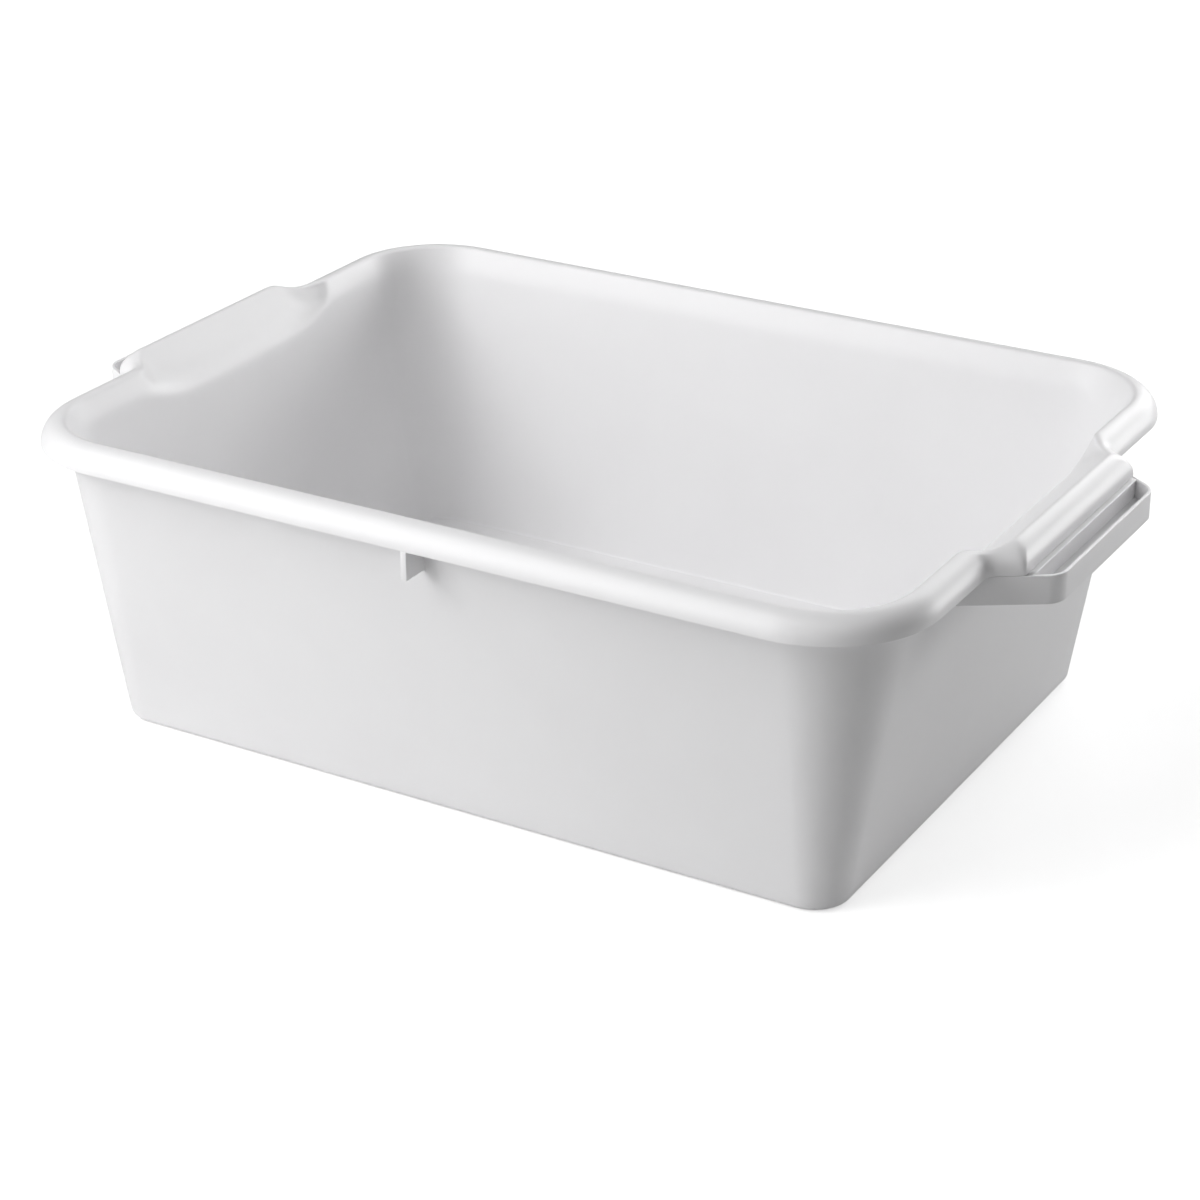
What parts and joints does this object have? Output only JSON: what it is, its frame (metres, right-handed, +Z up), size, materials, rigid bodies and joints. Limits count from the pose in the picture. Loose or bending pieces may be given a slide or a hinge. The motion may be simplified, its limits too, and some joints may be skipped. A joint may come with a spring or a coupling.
{
  "type": "bus tub",
  "caption": "Deep rectangular tub with drafted walls, a rolled rim, a grip saddle with a strap handle at each end, and a small rib under each long rim.",
  "frame": {"origin": "middle of the underside of the base, on the surface the tub stands on", "axes": "+X along the tub from the left handle to the right one, +Y from the front long side to the back one, +Z up"},
  "size_m": [0.6034, 0.413, 0.1834],
  "materials": {
    "shell_plastic": "white satin polypropylene, smooth from a polished mould",
    "handle_plastic": "the same white satin polypropylene",
    "rib_plastic": "the same white satin polypropylene"
  },
  "bodies": {
    "root": {"tub_shell": "shell_plastic", "left_handle_loop": "handle_plastic", "right_handle_loop": "handle_plastic", "front_rim_rib": "rib_plastic", "back_rim_rib": "rib_plastic"}
  },
  "joints": []
}
